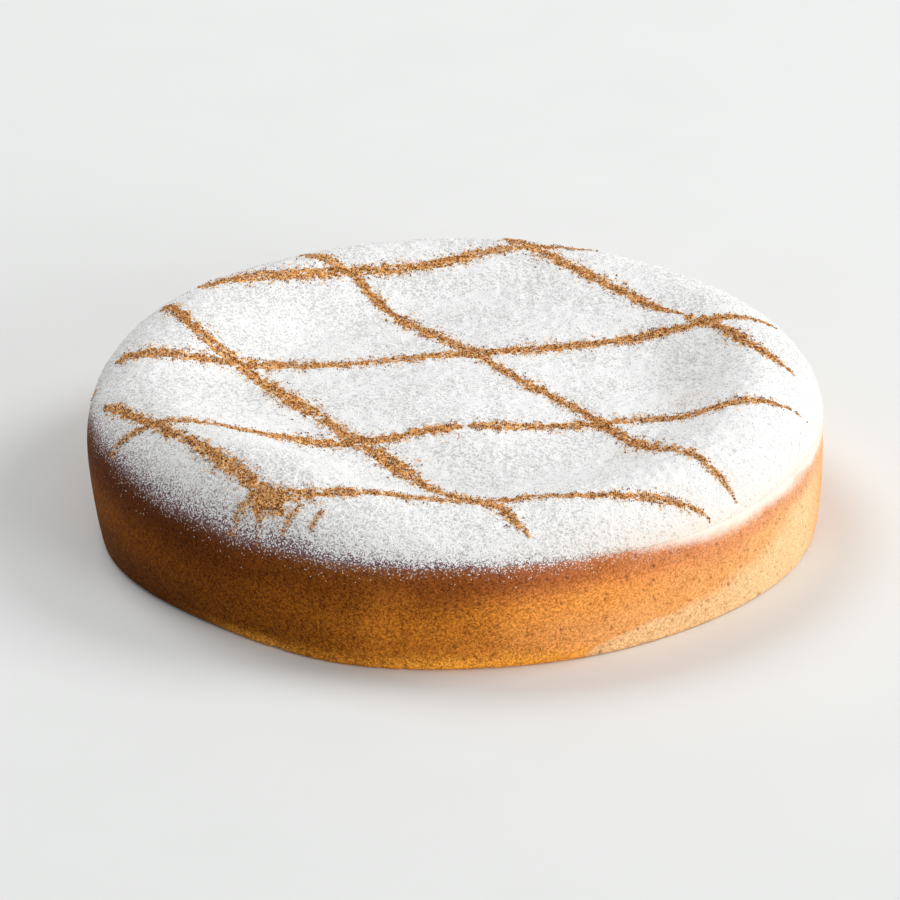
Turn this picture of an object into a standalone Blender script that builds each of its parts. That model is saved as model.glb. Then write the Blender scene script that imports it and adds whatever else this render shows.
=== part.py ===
"""A whole ricotta cheesecake: a round baked cake, sunken in the middle, under a skin of icing sugar
that carries a lattice of ground cinnamon.

Units are metres and +Z is up. The origin is the centre of the cake's flat underside. The whole outer
form is one function of the angle round the cake and of the reach, which runs from 0 at the centre of
the top, through 1 at the sugar's lower edge, to 2 at the foot of the wall. Both solids are round
blanks, turned with a Screw, whose points are then laid on that form.
"""

import bmesh
import bpy
import numpy as np
from mathutils import Vector
from mathutils.bvhtree import BVHTree

MM = 0.001

# The baked wall: it leans out from the foot to its widest height, where the shoulder begins.
WIDEST_RADIUS = 139.7 * MM
WIDEST_HEIGHT = 28 * MM
FOOT_RADIUS = 137 * MM
FOOT_ROUND = 2 * MM
SHOULDER_REACH = 45 * MM  # how far in from the widest radius the shoulder curve starts
SHOULDER_POWER = 2.9  # 2 is an ellipse, more is squarer

# Waves round the cake: (waves per turn, height or depth in mm, angle of a crest in degrees).
CREST_HEIGHT = 60.5 * MM
CREST_WAVES = [(1, 3.0, 80), (2, 2.0, 30), (3, 2.5, 0), (4, 1.0, -35), (5, 1.5, 10), (6, 0.5, -10)]
OUTLINE_WAVES = [(1, 0.3, 95), (2, 0.3, 25), (5, 0.25, 60)]

# The wall is pressed a little flat at the front left.
FLAT_ANGLE = np.radians(236)
FLAT_SPREAD = np.radians(13)
FLAT_DEPTH = 2.4 * MM

# The foot spreads where the crust slumped and draws in at one place: (angle, size, spread) in degrees and mm.
FOOT_SWELLS = [(251, 3.7, 12), (250, 1.5, 32), (338, 2.4, 14), (186, -1.6, 8), (205, 1.0, 9)]

# The sunken middle, and the swells and hollows of its floor: (x, y, height, spread), all in mm.
FLOOR_HEIGHT = 46 * MM
FLOOR_RISE = 0.06  # the floor climbs towards the back
BOWL_RADII = (65 * MM, 118 * MM)  # the floor ends at the first and the rim's crest is at the second
FLOOR_SWELLS = [(-5, -35, 9, 40), (-65, -5, 2.5, 18), (-25, -70, -5, 22), (65, -30, 4, 16), (65, 65, 9, 40)]

# The skin of icing sugar.
SUGAR_THICKNESS = 1.0 * MM
SUGAR_EDGE_THICKNESS = 0.35 * MM
SUGAR_EDGE_HEIGHT = 39.5 * MM
SUGAR_EDGE_WAVES = [(1, 1.5, 215), (3, 1.5, 85), (5, 1.2, 60)]
SUGAR_GAP = 0.3 * MM  # clear space between the sugar's skin and the cake

# The cinnamon lattice: each strand's way points in plan, in mm from the centre of the cake.
STRAND_WIDTH = 5.2 * MM
STRAND_UNEVENNESS = 0.28  # share by which a strand's width wanders
STRAND_HEIGHT = 0.8 * MM
STRAND_SIDES_SUNK = 0.15 * MM  # a strand's sides dip into the sugar
STRAND_BASE_SUNK = 0.5 * MM
STRAND_STEP = 6 * MM
STRAND_SEED = 12
LATTICE = [
    [(-131, -19), (-111, -51), (-98, -70), (-86, -87), (-72, -104), (-61, -117)],
    [(-114, 57), (-100, 32), (-84, 16), (-67, -8), (-42, -39), (-17, -67), (0, -101), (14, -112), (26, -128)],
    [(-62, 106), (-39, 85), (-20, 57), (1, 32), (23, 1), (44, -23), (67, -52), (85, -71), (99, -88)],
    [(19, 122), (38, 99), (59, 73), (76, 52)],
    [(89, 41), (102, 25), (111, 8), (127, -8)],
    [(-101, 71), (-77, 79), (-43, 89), (-6, 97), (13, 105), (31, 108), (56, 110)],
    [(-130, 16), (-104, 12), (-77, 17), (-48, 18), (-6, 23), (34, 26), (68, 31), (99, 33), (123, 34)],
    [(-122, -51), (-108, -50), (-88, -51), (-65, -45), (-37, -46), (-3, -41)],
    [(5, -41), (41, -37), (72, -34), (88, -36), (105, -35), (126, -33)],
    [(-70, -112), (-44, -111), (-18, -107), (8, -108), (28, -104), (44, -105), (69, -103), (88, -100)],
]

# How finely the blanks are divided.
SEGMENTS = 64
FLAT_REACH = 0.6  # share of the sugar's reach that the inner top takes, before the shoulder
FLAT_RINGS = 9
FLAT_CROWDING = 0.75  # under 1 draws the inner rings towards the rim, where the top bends most
SHOULDER_RINGS = 7
SHOULDER_CROWDING = 1.3  # over 1 draws the shoulder's rings towards its top
WIDEST_REACH = 1.3
LOWER_SHOULDER_RINGS = 2
WALL_RINGS = 3

CRUST_COLOUR = (0.55, 0.23, 0.055)
SUGAR_COLOUR = (0.90, 0.90, 0.89)
CINNAMON_COLOUR = (0.42, 0.17, 0.05)


# ---------------------------------------------------------------- the outer form


def waves(angle, rows):
    """The sum of the waves listed in rows at each angle, in metres."""
    return MM * sum(size * np.cos(count * (angle - np.radians(crest))) for count, size, crest in rows)


def smooth_step(value, start, end):
    """0 before start, 1 after end, and an S curve between them."""
    share = np.clip((value - start) / (end - start), 0, 1)
    return share * share * (3 - 2 * share)


def top_height(x, y):
    """Height of the top before the shoulder rounds it off: a floor with swells, lifted to the rim's crest."""
    floor = FLOOR_HEIGHT + FLOOR_RISE * y
    for centre_x, centre_y, height, spread in FLOOR_SWELLS:
        distance = np.hypot(x - centre_x * MM, y - centre_y * MM)
        floor = floor + height * MM * np.exp(-0.5 * (distance / (spread * MM)) ** 2)
    crest = CREST_HEIGHT + waves(np.arctan2(y, x), CREST_WAVES)
    lift = smooth_step(np.hypot(x, y), *BOWL_RADII)
    return floor + (crest - floor) * lift


def outline_shift(angle):
    """How far the wall stands out from its round outline."""
    from_flat = (angle - FLAT_ANGLE + np.pi) % (2 * np.pi) - np.pi
    return waves(angle, OUTLINE_WAVES) - FLAT_DEPTH * np.exp(-0.5 * (from_flat / FLAT_SPREAD) ** 2)


def foot_shift(angle):
    """How far the foot stands out beyond the rest of the wall: bells round the cake."""
    shift = 0
    for centre, size, spread in FOOT_SWELLS:
        away = (np.degrees(angle) - centre + 180) % 360 - 180
        shift = shift + size * MM * np.exp(-0.5 * (away / spread) ** 2)
    return shift


def edge_turn(angle):
    """How far round the shoulder the sugar's lower edge lies, as an angle from 0 at the top to 90 degrees."""
    across, along = np.cos(angle), np.sin(angle)
    crest = top_height(WIDEST_RADIUS * across, WIDEST_RADIUS * along)
    edge = SUGAR_EDGE_HEIGHT + waves(angle, SUGAR_EDGE_WAVES)
    share = (edge - WIDEST_HEIGHT) / (crest - WIDEST_HEIGHT)
    return np.arccos(share ** (SHOULDER_POWER / 2))


def shoulder_turn(angle, reach):
    """Turn round the shoulder at this reach: 0 on the inner top, 90 degrees from the widest point down."""
    edge = edge_turn(angle)
    upper = edge * np.clip((reach - FLAT_REACH) / (1 - FLAT_REACH), 0, 1) ** SHOULDER_CROWDING
    lower = edge + (np.pi / 2 - edge) * (reach - 1) / (WIDEST_REACH - 1)
    return np.clip(np.where(reach < 1, upper, lower), 0, np.pi / 2)


def form_points(angle, reach, depth):
    """Points of the outer form at these angles and reaches, sunk by depth along the way the surface faces."""
    turn = shoulder_turn(angle, reach)
    inner_radius = WIDEST_RADIUS - SHOULDER_REACH
    radius = inner_radius * np.clip(reach / FLAT_REACH, 0, 1)
    radius = radius + SHOULDER_REACH * np.sin(turn) ** (2 / SHOULDER_POWER)
    rise = top_height(radius * np.cos(angle), radius * np.sin(angle)) - WIDEST_HEIGHT
    height = WIDEST_HEIGHT + rise * np.cos(turn) ** (2 / SHOULDER_POWER)

    down = np.clip((reach - WIDEST_REACH) / (2 - WIDEST_REACH), 0, 1)
    radius = radius - (WIDEST_RADIUS - FOOT_RADIUS) * down**2
    height = height - (WIDEST_HEIGHT - FOOT_ROUND) * down
    radius = radius + outline_shift(angle) * np.clip(reach, 0, 1) + foot_shift(angle) * down

    facing = 2 - 2 / SHOULDER_POWER
    lean = np.arctan2(np.sin(turn) ** facing / SHOULDER_REACH, np.cos(turn) ** facing / rise)
    radius = radius - depth * np.sin(lean)
    height = height - depth * np.cos(lean)
    return np.stack([radius * np.cos(angle), radius * np.sin(angle), height], axis=-1)


def sugar_thickness(reach):
    """Thickness of the sugar's skin, which thins out round the shoulder."""
    thinning = smooth_step(reach, FLAT_REACH, 1)
    return SUGAR_THICKNESS + (SUGAR_EDGE_THICKNESS - SUGAR_THICKNESS) * thinning


# ---------------------------------------------------------------- helpers


def new_object(name, mesh, collection):
    """An object for a mesh, linked to a collection."""
    made = bpy.data.objects.new(name, mesh)
    collection.objects.link(made)
    return made


def evaluated_mesh(source):
    """The mesh of an object with its modifiers, or a curve's bevel, applied."""
    graph = bpy.context.evaluated_depsgraph_get()
    return bpy.data.meshes.new_from_object(source.evaluated_get(graph))


def bake_modifiers(source):
    """Replaces an object's mesh by what its modifiers make of it."""
    mesh = evaluated_mesh(source)
    source.modifiers.clear()
    source.data = mesh


def coordinates(mesh):
    """The mesh's points as an array of rows."""
    flat = np.empty(len(mesh.vertices) * 3, np.float32)
    mesh.vertices.foreach_get("co", flat)
    return flat.reshape(-1, 3).astype(float)


def set_coordinates(mesh, points):
    mesh.vertices.foreach_set("co", points.astype(np.float32).ravel())
    mesh.update()


def turned_blank(name, outline, collection):
    """A closed round blank: an outline of (reach, layer) points, from axis to axis, turned about Z."""
    mesh = bpy.data.meshes.new(name)
    points = [(reach, 0, layer) for reach, layer in outline]
    mesh.from_pydata(points, [(i, i + 1) for i in range(len(points) - 1)], [])
    blank = new_object(name, mesh, collection)
    turn = blank.modifiers.new("turn", "SCREW")
    turn.axis = "Z"
    turn.steps = SEGMENTS
    turn.render_steps = SEGMENTS
    turn.use_merge_vertices = True
    turn.merge_threshold = 0.0001
    bake_modifiers(blank)
    return blank


def finish_surface(thing, materials):
    """Splits the faces the same way everywhere, shades them smooth up to a sharp edge, gives the materials."""
    shape = bmesh.new()
    shape.from_mesh(thing.data)
    bmesh.ops.triangulate(shape, faces=shape.faces[:], quad_method="FIXED")
    shape.to_mesh(thing.data)
    shape.free()
    thing.data.shade_smooth()
    thing.data.set_sharp_from_angle(angle=np.radians(50))
    for material in materials:
        thing.data.materials.append(material)


def plain_material(name, colour, roughness):
    material = bpy.data.materials.new(name)
    material.use_nodes = True
    surface = material.node_tree.nodes["Principled BSDF"]
    surface.inputs["Base Color"].default_value = (*colour, 1)
    surface.inputs["Roughness"].default_value = roughness
    surface.inputs["Metallic"].default_value = 0
    return material


# ---------------------------------------------------------------- the baked cake


def top_reaches():
    """Reaches of the rings from the centre of the top to the sugar's lower edge."""
    flat = FLAT_REACH * np.linspace(0, 1, FLAT_RINGS + 1) ** FLAT_CROWDING
    shoulder = np.linspace(FLAT_REACH, 1, SHOULDER_RINGS + 1)
    return [*flat, *shoulder[1:]]


def wall_reaches():
    """Reaches of the rings from just under the sugar's edge to the foot."""
    lower_shoulder = np.linspace(1, WIDEST_REACH, LOWER_SHOULDER_RINGS + 1)
    wall = np.linspace(WIDEST_REACH, 2, WALL_RINGS + 1)
    return [*lower_shoulder[1:], *wall[1:]]


def cake_body(collection, material):
    """The cake under its sugar: sunk by the sugar's skin and the gap on top, and full size on the wall."""
    outline = [(reach, 0) for reach in top_reaches() + wall_reaches()]
    outline += [(2, -1), (0, -1)]
    cake = turned_blank("cake_body", outline, collection)
    blank = coordinates(cake.data)
    angle = np.arctan2(blank[:, 1], blank[:, 0])
    reach = np.hypot(blank[:, 0], blank[:, 1])
    under_sugar = reach < 1.001
    points = form_points(angle, reach, np.where(under_sugar, sugar_thickness(reach) + SUGAR_GAP, 0))

    underside = blank[:, 2] < -0.5
    flat_radius = (FOOT_RADIUS - FOOT_ROUND + outline_shift(angle) + foot_shift(angle)) * reach / 2
    points[underside, 0] = (flat_radius * np.cos(angle))[underside]
    points[underside, 1] = (flat_radius * np.sin(angle))[underside]
    points[underside, 2] = 0
    set_coordinates(cake.data, points)
    finish_surface(cake, [material])
    return cake


# ---------------------------------------------------------------- the sugar and its cinnamon lattice


def sugar_skin(collection, material):
    """The closed skin of icing sugar over the top and the shoulder."""
    reaches = top_reaches()
    outline = [(reach, 1) for reach in reaches] + [(reach, -1) for reach in reversed(reaches)]
    skin = turned_blank("sugar_coat", outline, collection)
    blank = coordinates(skin.data)
    angle = np.arctan2(blank[:, 1], blank[:, 0])
    reach = np.hypot(blank[:, 0], blank[:, 1])
    depth = np.where(blank[:, 2] > 0, 0, sugar_thickness(reach))
    set_coordinates(skin.data, form_points(angle, reach, depth))
    finish_surface(skin, [material])
    return skin


def route_through(way_points):
    """Points at even steps along a smooth curve (Catmull-Rom) through the way points, in plan."""
    knots = np.array(way_points, float) * MM
    knots = np.vstack([2 * knots[0] - knots[1], knots, 2 * knots[-1] - knots[-2]])
    along = np.linspace(0, 1, 20, endpoint=False)[:, None]
    pieces = []
    for a, b, c, d in zip(knots, knots[1:], knots[2:], knots[3:]):
        bend = (2 * a - 5 * b + 4 * c - d) * along**2 + (3 * b - a - 3 * c + d) * along**3
        pieces.append(b + 0.5 * ((c - a) * along + bend))
    fine = np.vstack([*pieces, knots[-2]])
    lengths = np.concatenate([[0], np.cumsum(np.hypot(*np.diff(fine, axis=0).T))])
    stops = np.linspace(0, lengths[-1], round(lengths[-1] / STRAND_STEP) + 1)
    return np.stack([np.interp(stops, lengths, fine[:, axis]) for axis in (0, 1)], axis=1)


def heights_under(points, skin):
    """Height of the skin's top face under each point."""
    tree = BVHTree.FromObject(skin, bpy.context.evaluated_depsgraph_get())
    down = Vector((0, 0, -1))
    hits = [tree.ray_cast(Vector((x, y, 2 * CREST_HEIGHT)), down)[0] for x, y, z in points]
    return np.array([hit.z for hit in hits])


def strand(name, way_points, random, collection, material, skin):
    """One strand of cinnamon: a bevelled curve in plan, uneven in width, pressed flat and laid on the skin."""
    route = route_through(way_points)
    curve = bpy.data.curves.new(name, "CURVE")
    curve.dimensions = "3D"
    curve.twist_mode = "Z_UP"
    curve.bevel_depth = STRAND_WIDTH / 2
    curve.bevel_resolution = 1
    curve.use_fill_caps = True
    spline = curve.splines.new("POLY")
    spline.points.add(len(route) - 1)
    widths = 1 + STRAND_UNEVENNESS * random.uniform(-1, 1, len(route))
    widths[[0, -1]] = 0.5
    for point, place, width in zip(spline.points, route, widths):
        point.co = (*place, 0, 1)
        point.radius = width
    guide = new_object(name, curve, collection)
    mesh = evaluated_mesh(guide)
    bpy.data.objects.remove(guide)
    weld = bmesh.new()
    weld.from_mesh(mesh)
    bmesh.ops.remove_doubles(weld, verts=weld.verts[:], dist=0.00001)
    weld.to_mesh(mesh)
    weld.free()

    points = coordinates(mesh)
    share = points[:, 2] / (STRAND_WIDTH / 2)
    above = share * (STRAND_HEIGHT + STRAND_SIDES_SUNK)
    below = share * (STRAND_BASE_SUNK - STRAND_SIDES_SUNK)
    pressed = np.where(share > 0, above, below) - STRAND_SIDES_SUNK
    points[:, 2] = heights_under(points, skin) + pressed
    set_coordinates(mesh, points)
    mesh.materials.clear()
    mesh.materials.append(material)
    return new_object(name, mesh, collection)


def faces_joined_to(start):
    """All faces that can be reached from one face by crossing edges."""
    found = {start}
    waiting = [start]
    while waiting:
        face = waiting.pop()
        beside = {other for edge in face.edges for other in edge.link_faces} - found
        found |= beside
        waiting.extend(beside)
    return found


def keep_largest_shell(thing):
    """Drops loose scraps and fills sealed hollows, by removing every shell of faces but the largest."""
    shape = bmesh.new()
    shape.from_mesh(thing.data)
    left = set(shape.faces)
    shells = []
    while left:
        shell = faces_joined_to(next(iter(left)))
        shells.append(shell)
        left -= shell
    shells.sort(key=len)
    spare = [face for shell in shells[:-1] for face in shell]
    bmesh.ops.delete(shape, geom=spare, context="FACES")
    shape.to_mesh(thing.data)
    shape.free()


def sugar_coat(collection, strands, sugar, cinnamon):
    """The skin of sugar with the strands of cinnamon fused on, as one solid."""
    skin = sugar_skin(collection, sugar)
    random = np.random.default_rng(STRAND_SEED)
    for index, way_points in enumerate(LATTICE):
        strand(f"strand_{index}", way_points, random, strands, cinnamon, skin)
    fuse = skin.modifiers.new("fuse_strands", "BOOLEAN")
    fuse.operation = "UNION"
    fuse.operand_type = "COLLECTION"
    fuse.collection = strands
    fuse.solver = "EXACT"
    fuse.material_mode = "TRANSFER"
    bake_modifiers(skin)
    keep_largest_shell(skin)
    for helper in list(strands.objects):
        bpy.data.objects.remove(helper)
    bpy.data.collections.remove(strands)
    return skin


# ---------------------------------------------------------------- the whole


def main():
    for old in list(bpy.data.objects):
        bpy.data.objects.remove(old)
    cake_parts = bpy.data.collections.new("ricotta_cheesecake")
    strands = bpy.data.collections.new("strands")
    bpy.context.scene.collection.children.link(cake_parts)
    bpy.context.scene.collection.children.link(strands)

    crust = plain_material("golden_crust", CRUST_COLOUR, 0.6)
    sugar = plain_material("icing_sugar", SUGAR_COLOUR, 0.95)
    cinnamon = plain_material("ground_cinnamon", CINNAMON_COLOUR, 0.9)
    cake_body(cake_parts, crust)
    sugar_coat(cake_parts, strands, sugar, cinnamon)


main()
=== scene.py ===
# %% [markdown]
# # A ricotta cheesecake, dusted with icing sugar and striped with cinnamon
#
# A round cake that rose in its tin and then sank in the middle. It has a smooth browned crust, a
# thick veil of icing sugar that thins out over the shoulder, and a lattice of ground cinnamon drawn
# on the sugar by hand. The solid model gives the sizes and the rough form; this lesson lays fine
# surfaces over it: first the crust, then the sugar, then the cinnamon, grain by grain.

import bpy
import numpy as np
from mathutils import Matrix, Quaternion, Vector


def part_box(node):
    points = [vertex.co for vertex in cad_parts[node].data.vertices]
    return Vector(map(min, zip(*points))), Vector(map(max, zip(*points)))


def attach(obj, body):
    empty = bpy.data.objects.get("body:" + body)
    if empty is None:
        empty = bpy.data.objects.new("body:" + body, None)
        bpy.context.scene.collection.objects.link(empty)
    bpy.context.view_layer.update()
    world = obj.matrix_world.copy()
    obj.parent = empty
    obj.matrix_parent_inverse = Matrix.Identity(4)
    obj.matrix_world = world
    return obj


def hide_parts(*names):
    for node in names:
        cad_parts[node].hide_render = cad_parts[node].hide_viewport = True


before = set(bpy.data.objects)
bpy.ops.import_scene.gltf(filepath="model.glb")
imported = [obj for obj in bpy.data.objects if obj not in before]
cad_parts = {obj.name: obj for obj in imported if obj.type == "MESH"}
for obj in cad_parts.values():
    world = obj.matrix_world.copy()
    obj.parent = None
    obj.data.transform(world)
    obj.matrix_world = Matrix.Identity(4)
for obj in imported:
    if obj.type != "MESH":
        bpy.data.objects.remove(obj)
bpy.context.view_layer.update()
MM = 0.001
cake_low, cake_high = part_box("cake_body")
print("solid cake, mm:", [round((high - low) / MM, 1) for low, high in zip(cake_low, cake_high)])

# %% [markdown]
# ## The form that everything lies on
#
# The whole outer form is one function of two numbers. The angle goes round the cake. The reach goes
# from 0 at the centre of the top, over the rim, to 1 at the lower edge of the sugar, and on to 2 at
# the foot of the wall. A profile turned by a Screw modifier would be too even, so the rim, the sunken
# floor and the outline each get a few waves and swells: plain sums of cosines and bell curves.
#
# A row of waves is (count round the cake, size in mm, crest in degrees). A swell round the cake is
# (size in mm, centre in degrees, spread in degrees). A swell of the floor is (x, y, height, spread),
# all in mm.

# %% Sizes of the form
WIDEST_RADIUS = 139.7 * MM
WIDEST_HEIGHT = 28 * MM
FOOT_RADIUS = 137 * MM
FOOT_ROUND = 2 * MM
SHOULDER_REACH = 45 * MM
SHOULDER_POWER = 2.9
INNER_RADIUS = WIDEST_RADIUS - SHOULDER_REACH
FLAT_REACH = 0.6
WIDEST_REACH = 1.3
SHOULDER_CROWDING = 1.3

CREST_HEIGHT = 60.5 * MM
CREST_WAVES = [(1, 3.0, 80), (2, 2.0, 30), (3, 2.5, 0), (4, 1.0, -35), (5, 1.5, 10), (6, 0.5, -10)]
OUTLINE_WAVES = [(1, 0.3, 95), (2, 0.3, 25), (5, 0.25, 60)]
FOOT_SWELLS = [(3.7, 251, 12), (1.5, 250, 32), (2.4, 338, 14), (-1.6, 186, 8), (1.0, 205, 9)]
FLAT_ANGLE = 236
FLAT_SPREAD = 13
FLAT_DEPTH = 2.4 * MM

FLOOR_HEIGHT = 46 * MM
FLOOR_RISE = 0.06
BOWL_RADII = (65 * MM, 118 * MM)
FLOOR_SWELLS = [(-5, -35, 9, 40), (-65, -5, 2.5, 18), (-25, -70, -5, 22), (65, -30, 4, 16), (65, 65, 9, 40)]
SUGAR_EDGE_HEIGHT = 39.5 * MM
SUGAR_EDGE_WAVES = [(1, 1.5, 215), (3, 1.5, 85), (5, 1.2, 60)]


# %% Waves, bells and steps
def waves(angle, rows):
    """Sum of size * cos(count * (angle - crest)) over the rows (count, size in mm, crest in degrees)."""
    return MM * sum(size * np.cos(count * (angle - np.radians(crest))) for count, size, crest in rows)


def smooth_step(value, start, end):
    """0 before start, 1 after end, and t * t * (3 - 2 * t) between them."""
    share = np.clip((value - start) / (end - start), 0, 1)
    return share * share * (3 - 2 * share)


def degrees_from(angle, centre):
    """Distance round the cake from a centre in degrees, the shorter way: -180 to 180."""
    return (np.degrees(angle) - centre + 180) % 360 - 180


def bell_round(angle, centre, spread):
    """A bell curve round the cake, in degrees: exp(-distance from the centre^2 / (2 * spread^2))."""
    return np.exp(-0.5 * (degrees_from(angle, centre) / spread) ** 2)


def bells(angle, rows):
    """Sum of size * bell over the rows (size, centre, spread)."""
    return sum(size * bell_round(angle, centre, spread) for size, centre, spread in rows)


# %% The outer form
def top_height(x, y):
    """Height of the top: a gently rising floor plus bell-shaped swells, lifted by an S curve to the crest."""
    floor = FLOOR_HEIGHT + FLOOR_RISE * y
    for centre_x, centre_y, height, spread in FLOOR_SWELLS:
        distance = np.hypot(x - centre_x * MM, y - centre_y * MM)
        floor = floor + height * MM * np.exp(-0.5 * (distance / (spread * MM)) ** 2)
    crest = CREST_HEIGHT + waves(np.arctan2(y, x), CREST_WAVES)
    return floor + (crest - floor) * smooth_step(np.hypot(x, y), *BOWL_RADII)


def outline_shift(angle):
    """How far the wall stands out from a true circle: two waves, less a bell where it is pressed flat."""
    return waves(angle, OUTLINE_WAVES) - FLAT_DEPTH * bell_round(angle, FLAT_ANGLE, FLAT_SPREAD)


def foot_shift(angle):
    """How far the foot stands out beyond the wall above it: the sum of its swells."""
    return MM * bells(angle, FOOT_SWELLS)


def sugar_edge_height(angle):
    """Height of the middle of the sugar's fade, which runs up and down a little round the cake."""
    return SUGAR_EDGE_HEIGHT + waves(angle, SUGAR_EDGE_WAVES)


def edge_turn(angle):
    """Turn round the shoulder at the sugar's edge: arccos(height share ^ (power / 2))."""
    crest = top_height(WIDEST_RADIUS * np.cos(angle), WIDEST_RADIUS * np.sin(angle))
    share = (sugar_edge_height(angle) - WIDEST_HEIGHT) / (crest - WIDEST_HEIGHT)
    return np.arccos(share ** (SHOULDER_POWER / 2))


def shoulder_turn(angle, reach):
    """Turn round the shoulder, from 0 on the top to 90 degrees at the widest place."""
    edge = edge_turn(angle)
    upper = edge * np.clip((reach - FLAT_REACH) / (1 - FLAT_REACH), 0, 1) ** SHOULDER_CROWDING
    lower = edge + (np.pi / 2 - edge) * (reach - 1) / (WIDEST_REACH - 1)
    return np.clip(np.where(reach < 1, upper, lower), 0, np.pi / 2)


def form_points(angle, reach, lift=0):
    """Points of the form, raised by lift along the way it faces.

    The shoulder is a quarter of a superellipse: radius = inner + reach * sin(turn)^(2/p) and
    height = widest + rise * cos(turn)^(2/p). The wall below leans in to the foot as a parabola.
    """
    turn = shoulder_turn(angle, reach)
    radius = INNER_RADIUS * np.clip(reach / FLAT_REACH, 0, 1)
    radius = radius + SHOULDER_REACH * np.sin(turn) ** (2 / SHOULDER_POWER)
    rise = top_height(radius * np.cos(angle), radius * np.sin(angle)) - WIDEST_HEIGHT
    height = WIDEST_HEIGHT + rise * np.cos(turn) ** (2 / SHOULDER_POWER)
    down = np.clip((reach - WIDEST_REACH) / (2 - WIDEST_REACH), 0, 1)
    radius = radius - (WIDEST_RADIUS - FOOT_RADIUS) * down**2
    height = height - (WIDEST_HEIGHT - FOOT_ROUND) * down
    radius = radius + outline_shift(angle) * np.clip(reach, 0, 1) + foot_shift(angle) * down
    facing = 2 - 2 / SHOULDER_POWER
    lean = np.arctan2(np.sin(turn) ** facing / SHOULDER_REACH, np.cos(turn) ** facing / rise)
    radius = radius + lift * np.sin(lean)
    height = height + lift * np.cos(lean)
    return np.stack([radius * np.cos(angle), radius * np.sin(angle), height], axis=-1)


print("crest of the rim, mm:", round(float(form_points(np.radians(80), 0.75)[2]) / MM, 1))

# %% [markdown]
# ## Unevenness
#
# Nothing baked is quite even. Soft noise gives random numbers to the corners of a lattice of cubes and
# blends them across each cube, so it can be read at any point in space, and two pieces that touch
# read the same values. Layers of it, coarse and fine, make dips, lumps and grain.

# %% Soft noise
LATTICE = 64


def soft_noise(points, cell, seed):
    """Smooth noise from -1 to 1 with lumps about one cell wide: corner values blended by S curves."""
    corners = np.random.default_rng(seed).uniform(-1, 1, (LATTICE, LATTICE, LATTICE))
    place = np.asarray(points) / cell
    whole = np.floor(place).astype(int)
    part = place - whole
    part = part * part * (3 - 2 * part)
    total = np.zeros(place.shape[:-1])
    for step in np.ndindex(2, 2, 2):
        beside = (whole + step) % LATTICE
        weight = np.prod(np.where(step, part, 1 - part), axis=-1)
        total += weight * corners[beside[..., 0], beside[..., 1], beside[..., 2]]
    return total


def layered_noise(points, layers, seed):
    """Sum of size * soft noise over the layers (cell in mm, size)."""
    return sum(size * soft_noise(points, cell * MM, seed + n) for n, (cell, size) in enumerate(layers))


# %% [markdown]
# ## Grids into meshes
#
# Every surface here is a grid of points: rows along one parameter and columns along the other. The
# corner numbers of its faces follow from the row and column numbers alone, so whole arrays build the
# mesh with foreach_set, which is far quicker than adding faces one by one. A ring of columns closes
# on itself.


# %% Mesh helpers
def grid_faces(rows, columns, first=0):
    """Four corners of each face of a grid whose last column joins its first."""
    row = first + np.arange(rows - 1)[:, None] * columns
    here = np.arange(columns)[None, :]
    beside = (here + 1) % columns
    corners = [row + here, row + columns + here, row + columns + beside, row + beside]
    return np.stack(np.broadcast_arrays(*corners), axis=-1).reshape(-1, 4)


def fan_faces(centre, ring):
    """Three corners of each face between a centre point and a closed ring of points."""
    return np.stack([np.full(len(ring), centre), ring, np.roll(ring, -1)], axis=-1)


def make_mesh(name, points, face_arrays, smooth=True, **measures):
    """An object of these points and faces; each measure becomes a number stored at every point."""
    mesh = bpy.data.meshes.new(name)
    points = np.asarray(points, np.float32).reshape(-1, 3)
    corners = np.concatenate([faces.ravel() for faces in face_arrays]).astype(np.int32)
    counts = np.concatenate([np.full(len(faces), faces.shape[1]) for faces in face_arrays])
    starts = np.concatenate([[0], np.cumsum(counts)[:-1]]).astype(np.int32)
    mesh.vertices.add(len(points))
    mesh.vertices.foreach_set("co", points.ravel())
    mesh.loops.add(len(corners))
    mesh.loops.foreach_set("vertex_index", corners)
    mesh.polygons.add(len(starts))
    mesh.polygons.foreach_set("loop_start", starts)
    mesh.update(calc_edges=True)
    mesh.polygons.foreach_set("use_smooth", np.full(len(starts), smooth))
    for measure, values in measures.items():
        stored = mesh.attributes.new(measure, "FLOAT", "POINT")
        stored.data.foreach_set("value", np.asarray(values, np.float32).ravel())
    mesh.update()
    thing = bpy.data.objects.new(name, mesh)
    bpy.context.scene.collection.objects.link(thing)
    triangles = int((counts - 2).sum())
    print(f"{name}: {len(points)} points, {triangles} triangles")
    return thing


# %% [markdown]
# ## How far the sugar covers the crust
#
# Sugar shaken from above lies thick on the top and thins out down the shoulder. There is no edge,
# only fewer and fewer grains. So the cover is a number from 1 to 0: an S curve of how far a point
# lies below the middle of the fade. The crust and the sugar both read it, and their colours meet.
# Lengths are in mm and angles in degrees; a row of shifts is (mm down, centre, spread).

# %% Cover
FADE_WIDTH = 0.85
FADE_WIDER = 1.1
FADE_WIDER_ANGLE = 212
FADE_WIDER_SPREAD = 42
HAZE_WIDER = 0.7
HAZE_ANGLE = 326
HAZE_SPREAD = 24
HAZE_SIDES = (14, 46)
SHOULDER_THINNING = 0.5
THIN_ALL_ROUND = 0.25
THINNING_HEIGHT = 17
FADE_SHIFTS = [(2.8, 324, 17), (1.2, 314, 8), (1.9, 343, 7), (-1.1, 265, 27), (-1.0, 300, 6),
               (-0.8, 240, 7), (-1.2, 203, 8)]
FADE_WANDER = [(14, 1.0), (5, 0.7), (1.6, 0.5)]
REACH_LENGTH = 152


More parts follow.
